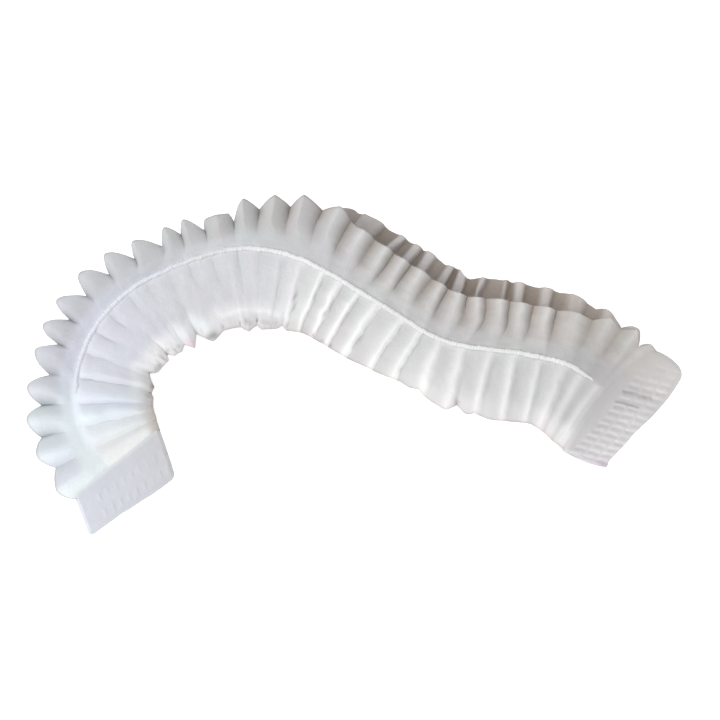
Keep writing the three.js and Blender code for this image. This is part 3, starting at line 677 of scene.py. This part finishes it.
def front_panel():
    cols = Columns(PER_SIDE, overlap=SEAL_OVERLAP)
    w = rows(34, 46)
    s, away, t = cols.along, cols.away, cols.t
    frill, body = np.maximum(w, 0), np.maximum(-w, 0)
    full = swell(s)

    edge_power = np.where(t < 0, style("frill_rise", s), style("frill_fall", s))
    blunt = 7 * fall(np.abs(s - BLUNT_TOOTH), 4.5, 2)
    cut = cols.cut * away ** (edge_power + blunt) * style("scallop", s)
    crown = crown_edge(cols.crown)
    along, across = cols.strip_points(w, cols.reach, crown, cut)

    # The folds' section, flat on the band beside the elastic.
    on_frill = 1 - 2 * away**edge_power
    on_body = fold_wave(
        t, style("foot", s), style("top", s), style("body_fall", s), style("rounded", s)
    )
    ridges = soft_ridges(along, body, 1.5)
    on_body = mix(on_body, 2 * ridges - 1, rise(s, *SINGLE))
    wave = np.where(w > 0, on_frill, on_body)
    kept = np.where(w > 0, style("frill_depth", s), section("body", s) * style("body_depth", s))
    kept = kept * (1 - style("fade", s) * rise(body, 0.12, 0.3))
    kept = kept * (1 - smooth_crown(s, body))
    varied = 1 + 0.2 * noise(cols.fold * 3.7, w * 0.9, 1.0, 3)
    relief = profile(FRONT_RELIEF, w) * section("depth", s) * kept * varied
    height = profile(FRONT_BASE, w) + relief * wave
    height -= 2.5 * rise(body, 0.75, 0.25) * style("shaded_edge", s)

    # Gathers at the crown's edge, puckers beside the elastic and soft wrinkles all over.
    gather = style("gather", s) * rise(body, 0.82, 0.14)
    folds_at_crown = gathered_crown(along, across)
    height += 0.35 * gather * folds_at_crown
    pucker = noise(s, across * 0.15, 1.0, 5) + 0.6 * noise(s, across * 0.2, 0.55, 6)
    height += 0.12 * pucker * np.exp(-np.abs(w) / 0.15)
    lengthwise = noise(s * 0.25, across, 1.1, 7) * smooth(1 - np.abs(w - 0.15) / 0.2)
    height += 0.10 * lengthwise
    height += 0.12 * noise(along, across * 0.5, 2.2, 8) * smooth(body / 0.2)
    height += 0.08 * noise(along, across, 3.0, 9) + 0.04 * noise(along, across, 1.2, 10)
    dent, dent_shading = dents(along, across)
    into_seal = np.maximum(WALL_FROM[ELASTIC] - s, s - WALL_TO[ELASTIC]) / SEAL_OVERLAP
    sealed = SEALED_FRONT + 0.03 * wave - 0.5 * np.clip(into_seal, 0, 1)
    height = mix(sealed, height - dent, full)

    # Creases aren't straight.
    kink = 0.45 * cols.line_noise(across, 3.0, 11) + 0.2 * cols.line_noise(across, 1.3, 13)
    along = along + kink * np.where(w > 0, 0.4, 0.7) * smooth(np.abs(w) / 0.25) * full
    points = place(along, across, height)

    # How light it is: painted light and shade by its folds, fine streaks, a painted highlight on
    # the edge that is turned to the light with painted shade just past it, and painted light beside
    # the elastic.
    tone = np.where(w > 0, frill_shading(along, s, t, frill), body_shading(s, t, body, ridges))
    tone = mix(1.0, tone, fall(s, WALL_TO[ELASTIC], 3))
    streaks = 0.03 * noise(along * 0.3, across, 0.9, 17) + 0.02 * noise(along, across, 1.6, 18)
    streaks = streaks * smooth(w / 0.1) * rise(s, *STRAIGHT)
    turned = rise(along, 92, 4) * fall(along, 127, 3)
    lit_edge = 0.06 * bell(across, -17.4, 0.6) * turned
    lit_edge = lit_edge - 0.07 * fall(across, -17.9, 0.8) * turned
    elastic_light = 0.18 * bell(across, section("elastic", along), 1.2) * full
    tone *= 1 + streaks + lit_edge + elastic_light

    # Painted shade in deep pockets is warmer, and one lobe of the crown is pink.
    colour = strip_colour(along, w) * tone[..., None]
    deep = np.clip((1 - tone) / 0.3, 0, 1) * rise(s, *WARM) * (w > 0)
    pocket_shade = mix(POCKET_SHADE_TINT, RIM_POCKET_SHADE_TINT, rise(frill, *AT_RIM)[..., None])
    colour *= mix(1.0, pocket_shade, deep[..., None])
    hue = 0.012 * noise(along, across * 0.5, 4.0, 19)[..., None] * np.array((1, -0.6, 0.3))
    lobe = bell(along, 79.5, 2.2) * bell(across, -21.5, 1.6)
    colour *= (1 + hue) * mix(1.0, PINK, 0.9 * lobe[..., None])
    colour *= np.minimum(1, LIGHTEST / colour.max(axis=-1, keepdims=True))

    # Creases and the crown's gathers get painted shade, in lines of uneven strength.
    strength = np.clip(0.45 + 0.45 * cols.line_noise(across, 3.6, 15), 0, 1)
    shown = rise(body, style("line_from", s), 0.08)
    shown = shown * (1 - rise(body, style("line_to", s), 0.12)) * (1 - smooth_crown(s, body))
    body_crease_shade = bell(cols.from_crease, 0, 0.3) * shown * style("line", s) * strength
    frill_crease_shade = bell(cols.from_crease, 0, 0.6) * rise(frill, 0.3, 0.2) * style("frill_line", s)
    gather_shade = gather * np.clip(-folds_at_crown, 0, 1)
    amount = (frill_crease_shade + body_crease_shade + 0.25 * gather_shade) * full
    colour = darkened(colour, crease_shade(along), amount)
    # Painted shade where the crown's edge bends down, and along the cloth's rims.
    bent_down_shade = rise(body, 0.76, 0.24) * style("shaded_edge", s)
    rim = rise(np.abs(w), 0.955, 0.045) * np.where(w > 0, 1 - rise(s, 128, 6), 0.5)
    colour = darkened(colour, EDGE_SHADE, bent_down_shade + rim)
    return points, darkened(colour, DENT_SHADE, dent_shading), pleated_uv(cols, across)


front = sheet_mesh("front_cloth", NONWOVEN, *front_panel())
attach(front, "root")
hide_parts("front_panel")

# ---- back panel

BACK_BASE = [(1, 1.7), (0.6, 1.8), (0.22, 2.2), (0, 2.5), (-0.25, 1.9), (-0.65, 1.8),
             (-1, 1.7)]
BACK_RELIEF = [(1, 1.15), (0.6, 1.15), (0.3, 0.6), (0.1, 0.2), (0, 0.12), (-0.1, 0.4),
               (-0.3, 1), (-0.65, 1.15), (-1, 1)]
SEALED_BACK = 0.45
OFF_THE_FLOOR = 0.12

# Where the back wall's frill shows past the front wall's, its pleats are its own: the pocket
# before each pleat's ridge, the ridge itself, how far it leans to the right at its edge and how
# much painted shade the pocket and the ridge get.
PLEATS = np.array([  # pocket from, ridge from, ridge to, lean, darkness of pocket and ridge
    (127, 131.5, 138.2, 1, 0.8, 0.35), (138.6, 142.8, 145.2, 1.4, 1, 0),
    (145.9, 148.2, 150.9, 0.6, 0.9, 0.05), (151.6, 152.8, 155.9, 0, 0.9, 0),
    (156.6, 159.8, 164.2, 0, 0.8, 0.1), (164.8, 168.3, 174, 0, 1, 0),
    (174.6, 181.5, 183.2, 1.5, 1, 0), (184, 188.4, 189.4, 0.5, 0.8, 0.2),
    (189.8, 191.4, 194, 0, 1, 0), (194.4, 198.2, 201.2, 0, 1, 0.1),
    (201.6, 205.2, 209.6, 0, 0.8, 0.3), (210.4, 214.5, 216.8, 0, 0.7, 0.1),
    (217.3, 221.5, 223.4, 0, 0.7, 0.1),
])


def pleats(along, across):
    """1 on the back frill's ridges and 0 in its pockets, and how much painted shade the cloth gets.
    """
    on_ridge, painted_shade = np.zeros_like(along), np.full_like(along, 0.8)
    for start, ridge_from, ridge_to, lean, pocket_shade, ridge_shade in PLEATS:
        leaning = along - lean * (across - 19) / 4
        edge = np.minimum(leaning - ridge_from, ridge_to - leaning)
        ridge = rise(edge, -0.6, 1.4)
        on_ridge = np.maximum(on_ridge, ridge)
        here = (leaning > start - 0.5) & (leaning < ridge_to + 0.5)
        painted_shade = np.where(here, mix(pocket_shade, ridge_shade, ridge), painted_shade)
    return on_ridge, painted_shade


def back_wave(w, away):
    """The back folds' section: -1 in the creases and 1 on the ridges."""
    return 1 - 2 * away ** mix(2.0, 1.6, np.abs(w))


def back_height(w, s, wave):
    return profile(BACK_BASE, w) + profile(BACK_RELIEF, w) * section("depth", s) * wave


def back_panel():
    cols = Columns(PER_SIDE, overlap=0.6)
    w = rows(40, 34)
    s, away = cols.along, cols.away
    extra = section("back_extra", cols.frill)
    loose = rise(extra, 1, 3)
    lobes = 0.5 * noise(s, 0, 7.0, 20)
    reach = cols.reach + extra + lobes * loose
    cut = cols.cut * away**2 * mix(1.0, 0.6, loose)
    crown = crown_edge(cols.crown) - 1.4
    along, across = cols.strip_points(w, reach, crown, cut)

    on_ridge, painted_shade = pleats(along, across)
    frill = np.maximum(w, 0)
    outer = loose * rise(frill, 0.5, 0.25)
    wave = mix(back_wave(w, away), 2 * on_ridge - 1, outer)
    height = back_height(w, s, wave) + 0.08 * noise(along, across, 2.5, 21)
    height = mix(SEALED_BACK, height, swell(s))
    height = np.maximum(height, CLOTH / 2 + OFF_THE_FLOOR)

    # Painted shade in the back wall's creases and in its frill's pockets, and along its rim.
    recess_shading = mix(0.5 * rise(away, 0.6, 0.4), painted_shade, outer)
    seen = rise(along, 108, 16) * smooth(frill / 0.5)
    colour = darkened(strip_colour(along, w), RECESS_SHADE, recess_shading * seen)
    # A painted highlight on the back frill's ridges.
    lit = 0.12 * (on_ridge * outer * (1 - painted_shade))[..., None]
    colour *= 1 + lit * np.array((1.1, 0.95, 0.95))
    rim = mix(0.8, 0.25, rise(s, 126, 6)) * rise(np.abs(w), 0.97, 0.03)
    colour = darkened(colour, EDGE_SHADE, rim)
    return place(along, across, height), colour, pleated_uv(cols, across)


back = sheet_mesh("back_cloth", NONWOVEN, *back_panel())
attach(back, "root")
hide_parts("back_panel")

# ---- gusset

GUSSET_FROM, GUSSET_TO = 36.0, 206.0
ABOVE_BACK = 0.45

# Its section, from the edge of its upper leaf (0) over its fold to that of its lower leaf (1):
# how far it reaches, as a share of the way to the crown, and how high it is.
GUSSET_REACH = ((0, 0.48, 0.52, 1), (1.0, 0.45, 0.45, 1.0))
GUSSET_HEIGHT = ((0, 0.08, 0.46, 0.5, 0.54, 0.92, 1), (6.4, 6.4, 6.6, 5.8, 5.0, 2.8, 2.25))


def gusset():
    cols = Columns(PER_SIDE)
    keep = ((cols.along >= GUSSET_FROM) & (cols.along <= GUSSET_TO))[:, 0]
    s, away, at = cols.along[keep], cols.away[keep], cols.crown[keep]
    u = np.linspace(0, 1, 60)[None, :]
    share = np.interp(u, *GUSSET_REACH)
    along = mix(s, at, share)
    across = mix(section("elastic", s), 1.3 - crown_edge(at), share)

    gather = style("gather", s)
    folds = gathered_crown(along, across)
    outer = rise(share, 0.75, 0.25)
    relief = 0.8 * section("depth", s) * (1 - 2 * away**1.8)
    height = np.interp(u, *GUSSET_HEIGHT) + relief
    height += 0.25 * outer * gather * folds
    dent, dent_shading = dents(along, across)
    on_back = back_height(-share, s, back_wave(share, away)) + ABOVE_BACK
    height = mix(height - dent, on_back, rise(u, 0.56, 0.2))

    # Painted shade in its creases and gathers, along its rim and in its dents.
    painted_shade = outer * (0.3 * rise(away, 0.6, 0.4) + 0.3 * gather * np.clip(-folds, 0, 1))
    colour = darkened(0.95 * strip_colour(along, -1.0), crease_shade(along), painted_shade)
    colour = darkened(colour, EDGE_SHADE, 0.4 * rise(share, 0.965, 0.035))
    colour = darkened(colour, DENT_SHADE, dent_shading)
    uv = np.stack(np.broadcast_arrays(s * MM * DRAWN_OUT, u * 0.02), axis=-1)
    return place(along, across, height), colour, uv


crown_gusset = sheet_mesh("crown_gusset", NONWOVEN, *gusset())
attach(crown_gusset, "root")
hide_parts("crown_folds")

# ---- elastic threads

COOL_THREAD = np.array((0.98, 1.0, 1.06))
THREAD_RING, THREAD_STEP = 12, 0.16  # points round it, and the distance between rings
THREAD_TWIST = 0.85  # the length of one bead of it
FLATTENED = 0.6  # its height as a share of its width
ABOVE_BAND = 0.22


def capped_tube(columns, ring):
    """Faces of a tube whose last two points are the middles of its ends."""
    index = np.arange(columns * ring).reshape(columns, ring)
    beside = np.roll(index, -1, axis=1)
    corners = [beside[:-1], beside[1:], index[1:], index[:-1]]
    sides = np.stack(corners, axis=-1).reshape(-1, 4)
    middle = columns * ring
    caps = []
    for k in range(0, ring, 2):
        near, far = (np.roll(end, -k)[:3] for end in (index[0], index[-1]))
        caps += [(middle, *near), (middle + 1, *far[::-1])]
    return np.concatenate([sides, np.array(caps)])


def thread(name, node_name, start, stop, height, radius):
    s = np.arange(start, stop, THREAD_STEP)
    turns = s / THREAD_TWIST + 0.4 * noise(s, 0, 2.0, 45)
    beads = 0.07 * np.sin(2 * math.pi * turns) + 0.12 * noise(s, 0, 0.7, 41)
    ends = smooth(np.minimum(s - start, stop - s) / 8)
    r = ((radius + beads) * mix(0.35, 1, ends))[:, None]
    wobble = 0.16 * noise(s, 0, 2.2, 42) + 0.08 * noise(s, 0, 0.6, 46)
    angle = np.linspace(0, 2 * math.pi, THREAD_RING + 1)[None, :-1]
    across = (section("elastic", s) + wobble)[:, None] + r * np.cos(angle)
    lump = 1 + 0.12 * noise(s[:, None], angle, 0.5, 43)
    z = height(s)[:, None] + FLATTENED * r * np.sin(angle) * lump
    points = place(s[:, None], across, z)
    middles = np.array([points[0].mean(axis=0), points[-1].mean(axis=0)])
    white = cloth_colour("crown", s) * mix(0.79, 0.92, rise(s, 90, 30))[:, None]
    white = white * mix(COOL_THREAD, 1.0, rise(s, 84, 10)[:, None])
    tint = np.concatenate([np.repeat(white, THREAD_RING, axis=0), np.full((2, 3), 0.8)])
    uv = np.stack(np.broadcast_arrays(s[:, None], 0.35 * np.arange(THREAD_RING)), axis=-1) * MM
    piece = mesh_from(
        name,
        THREAD,
        np.concatenate([points.reshape(-1, 3), middles]),
        capped_tube(len(s), THREAD_RING),
        tint,
        np.concatenate([uv.reshape(-1, 2), np.zeros((2, 2))]),
    )
    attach(piece, "root")
    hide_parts(node_name)


def front_line(s):
    """Height of the front thread, which is inside the cloth's channel near the left seal."""
    band = 10.35 + 0.1 * noise(s, 0, 2.0, 44)
    on_top = mix(SEALED_FRONT, band, swell(s)) + ABOVE_BAND
    on_top = on_top + 0.15 * rise(s, 84, 36)
    return on_top - 1.0 * fall(s, 41, 9) - 0.8 * rise(s, 217, 4)


thread("front_thread", "front_elastic", 17.0, 220.5, front_line, 0.7)
thread("back_thread", "back_elastic", 33.0, 206.0, lambda s: 0.85 + 0 * s, 0.6)

# ---- end seals

# Corners are in strip coordinates. heading: the bars' direction in degrees. in_line: whether the
# columns of bars follow each other along the bars, or inward from the outer edge. first, pitch:
# where the columns start and how far apart they are. dash: the length of a bar. contrast: how
# strong the painted highlights on the bars and the painted shade beside them are. outer_tone,
# inner_tone, rim_tone: painted light at its outer edge, painted shade beside the walls and a
# painted highlight on its rim.
SEALS = {
    "left_end_seal": {
        "piece": "left_seal_tab",
        "outer_frill": (-1.4, 14.8), "inner_frill": (WALL_FROM[FRILL], 12.8),
        "inner_crown": (WALL_FROM[CROWN], -19.3), "outer_crown": (1.6, -15.8),
        "heading": 107, "in_line": False, "first": 3.2, "pitch": 5.0, "columns": 2, "rows": 11,
        "dash": 3.4, "corner": 1.4, "relief": 0.08, "contrast": 0.05,
        "creases": [], "flap": False,
        "crown_tint": (0.96, 0.95, 0.90), "frill_tint": (1.08, 1.10, 1.12),
        "tone": 0.87, "outer_tone": 1.0, "inner_tone": 1.0, "rim_tone": 1.08,
    },
    "right_end_seal": {
        "piece": "right_seal_tab",
        "outer_frill": (236.6, 17.7), "inner_frill": (WALL_TO[FRILL], 17.0),
        "inner_crown": (WALL_TO[CROWN], -23.9), "outer_crown": (244.2, -21.2),
        "heading": -14, "in_line": True, "first": 2.4, "pitch": 4.1, "columns": 3, "rows": 16,
        "dash": 4.3, "corner": 2.2, "relief": 0.22, "contrast": 0.17,
        "creases": [((228.6, 1.3), (235.4, 4.9)), ((228.6, -2.6), (234.6, 0.2))],
        "flap": True,
        "crown_tint": (1.06, 1.06, 1.06), "frill_tint": (0.97, 0.96, 0.95),
        "tone": 0.88, "outer_tone": 1.13, "inner_tone": 0.925, "rim_tone": 1.0,
    },
}
SEAL_TOP, SEAL_BOTTOM = 1.25, 0.1
SEAL_EDGE = 0.45  # its thickness at its rim
BARS_END = 0.86  # the share of the tab's length that has bars


def seal_at(spec, inward, side):
    """Strip coordinates, from the outer edge (0) to the walls (1), and crown (0) to frill (1)."""
    outer, inner = (
        [mix(*ends, side) for ends in zip(spec[edge + "_crown"], spec[edge + "_frill"])]
        for edge in ("outer", "inner")
    )
    return [mix(*ends, inward) for ends in zip(outer, inner)]


def seal_bars(spec, flat, along, across, seed):
    """Where the embossed bars rise, and where the cloth dips beside them."""
    ups, under = np.zeros(flat.shape[:2]), np.zeros(flat.shape[:2])
    heading = math.radians(spec["heading"])
    bar_way = np.array((math.cos(heading), math.sin(heading), 0.0))
    bent = 0.2 * noise(along, across, 2.0, seed + 3)
    for column in range(spec["columns"]):
        for row in range(spec["rows"]):
            side_at = (row + 0.5) / spec["rows"]
            inner, outer = (place(*seal_at(spec, end, side_at), 0.0) for end in (1.0, 0.0))
            reach = np.hypot(*(inner - outer)[:2])
            if (spec["first"] + column * spec["pitch"]) * MM > BARS_END * reach:
                continue
            inward = (inner - outer) / reach
            row_way = -bar_way if spec["in_line"] else inward
            at = outer + (spec["first"] * inward + column * spec["pitch"] * row_way) * MM
            d = (flat - at)[..., :2] / MM
            u = d[..., 0] * bar_way[0] + d[..., 1] * bar_way[1]
            v = -d[..., 0] * bar_way[1] + d[..., 1] * bar_way[0] + bent
            strength = 0.75 + 0.4 * float(noise(row * 3.1, column * 7.7, 1.0, seed))
            strength = strength * mix(1.0, 0.3, rise(side_at, 0.75, 0.15))
            on_dash = smooth((spec["dash"] / 2 - np.abs(u)) / 1.0) * strength
            ups += on_dash * bell(v, 0.1, 0.5)
            under += on_dash * bell(v, -0.75, 0.45)
    return ups, under


def seal_creases(spec, along, across, seed):
    found = np.zeros_like(along)
    for (s0, v0), (s1, v1) in spec["creases"]:
        u = np.clip((along - s0) / (s1 - s0), 0, 1)
        off = np.hypot(along - mix(s0, s1, u), across - mix(v0, v1, u))
        found += bell(off, 0, 0.5) * (0.8 + 0.3 * noise(along, across, 1.2, seed))
    return found


def seal_tab(node_name, seed):
    spec = SEALS[node_name]
    outer_frill, corner = np.array(spec["outer_frill"]), spec["corner"]
    length = np.hypot(*(outer_frill - np.array(spec["inner_frill"])))
    width = np.hypot(*(outer_frill - np.array(spec["outer_crown"])))
    under_walls = 0.8 / length
    a = np.linspace(0, 1 + under_walls, 64)[:, None]
    b = np.linspace(0, 1, 150)[None, :]

    # Its outline: round corners, a wavering outer edge, and on one tab a flap at the crown.
    near = np.clip(1 - a * length / corner, 0, 1)
    inset = corner / width * (1 - np.sqrt(1 - near**2))
    at_crown = 0.2 if spec["flap"] else 1.0
    side = inset * at_crown + b * (1 - (1 + at_crown) * inset)
    tucked = 0.025 * smooth((a - 0.99) / under_walls)
    side = tucked + side * (1 - 2 * tucked)
    along, across = seal_at(spec, a, side)
    edge = 0.25 * noise(b * width, 0, 4.0, seed) * np.exp(-a * length / 2)
    if spec["flap"]:
        bulge = np.sin(math.pi * np.clip(a, 0, 1))
        edge = edge - 1.3 * smooth(side / 0.13) * (1 - rise(side, 0.3, 0.5)) * (1 - a)
        curl = 2.0 * np.exp(-a * length / 2.5) - 0.9 * bulge
        across = across + curl * smooth(1 - side / 0.12)
        across = across + 0.8 * bulge * rise(side, 0.85, 0.15)
    outward = np.sign(outer_frill[0] - spec["inner_frill"][0])
    along = along + edge * outward

    ups, under = seal_bars(spec, place(along, across, 0.0), along, across, seed)
    creases = seal_creases(spec, along, across, seed)
    top = SEAL_TOP + spec["relief"] * (ups - under) + 0.07 * noise(along, across, 3.0, seed + 1)
    top += 0.3 * rise(a, 0.5, 0.5) - 0.4 * smooth((a - 1) / under_walls) - 0.3 * creases
    thin = smooth(a * length / 1.2) * smooth(side * width / 1.0) * smooth((1 - side) * width / 1.0)
    lift = 0.25 + 0.2 * noise(across, 0, 6.0, seed + 2)
    bottom = SEAL_BOTTOM + np.maximum(lift, 0) * np.exp(-a * length / 2.0)
    top = mix(bottom + SEAL_EDGE, top, thin)

    w = np.where(across > 0, across / 16, across / 21)
    tints = mix(np.array(spec["crown_tint"]), np.array(spec["frill_tint"]), side[..., None])
    # Painted light at the outer edge, painted shade beside the walls and a painted highlight on the
    # rim.
    tone = spec["tone"] * mix(spec["outer_tone"], spec["inner_tone"], np.clip(a, 0, 1))
    tone *= mix(spec["rim_tone"], 1.0, smooth(a * length / 1.5))
    colour = strip_colour(along, w) * tints * tone[..., None]
    if spec["flap"]:
        at_flap = smooth(1 - side / 0.1) * smooth(1 - a / 0.5)
        colour *= mix(1.0, LILAC, at_flap[..., None])
    # Painted highlights on the bars, with painted shade beside them and in the creases.
    painted_marks = spec["contrast"] * (ups - 0.7 * under) * (1 - creases) - 0.34 * creases
    piece = shell_mesh(
        spec["piece"],
        SEALED,
        place(along, across, top),
        place(along, across, bottom),
        colour * (1 + painted_marks)[..., None],
        np.stack([along, across], axis=-1) * MM,
        flipped=outward > 0,
    )
    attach(piece, "root")
    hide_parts(node_name)


seal_tab("left_end_seal", 50)
seal_tab("right_end_seal", 60)

# ---- floor, light, camera

floor_mesh = bpy.data.meshes.new("floor")
floor_mesh.from_pydata([(-3, -3, 0), (3, -3, 0), (3, 3, 0), (-3, 3, 0)], [], [(0, 1, 2, 3)])
floor = add_object("floor", floor_mesh)
floor_material = bpy.data.materials.new("floor")
floor_material.use_nodes = True
floor_shader = floor_material.node_tree.nodes["Principled BSDF"]
FLOOR_LOOKS = {
    "Base Color": (0.97, 0.97, 0.975, 1), "Roughness": 0.9, "Specular IOR Level": 0.1,
    "Emission Color": (1, 1, 1, 1), "Emission Strength": 0.45,
}
for socket, value in FLOOR_LOOKS.items():
    floor_shader.inputs[socket].default_value = value
floor_mesh.materials.append(floor_material)
floor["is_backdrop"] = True

world = bpy.data.worlds.new("studio")
world.use_nodes = True
background = world.node_tree.nodes["Background"].inputs
background["Color"].default_value = (1, 1, 1, 1)
background["Strength"].default_value = 0.9
scene.world = world


# A soft lamp that shines from the left, azimuth 0 being the camera's side.
light = bpy.data.lights.new("key", "SUN")
light.energy, light.angle = 1.5, math.radians(50)
azimuth, elevation = math.radians(-78), math.radians(40)
direction = Vector((
    math.sin(azimuth) * math.cos(elevation),
    -math.cos(azimuth) * math.cos(elevation),
    math.sin(elevation),
))
lamp = add_object("key", light)
lamp.rotation_euler = direction.to_track_quat("Z", "Y").to_euler()

CAMERA = {"target": (0.0010, 0.0015, 0.0050), "elevation": 80, "distance": 0.7, "width": 0.21456}
camera_data = bpy.data.cameras.new("camera")
camera_data.sensor_width = 36
camera_data.lens = 36 * CAMERA["distance"] / CAMERA["width"]
camera = add_object("camera", camera_data)
tilt = math.radians(CAMERA["elevation"])
offset = Vector((0, -math.cos(tilt), math.sin(tilt))) * CAMERA["distance"]
camera.location = Vector(CAMERA["target"]) + offset
camera.rotation_euler = (math.radians(90) - tilt, 0, 0)
scene.camera = camera
scene.view_settings.view_transform = "Standard"

visual_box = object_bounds()
str([[list(map(float, corner)) for corner in box] for box in (cad_box, visual_box)])
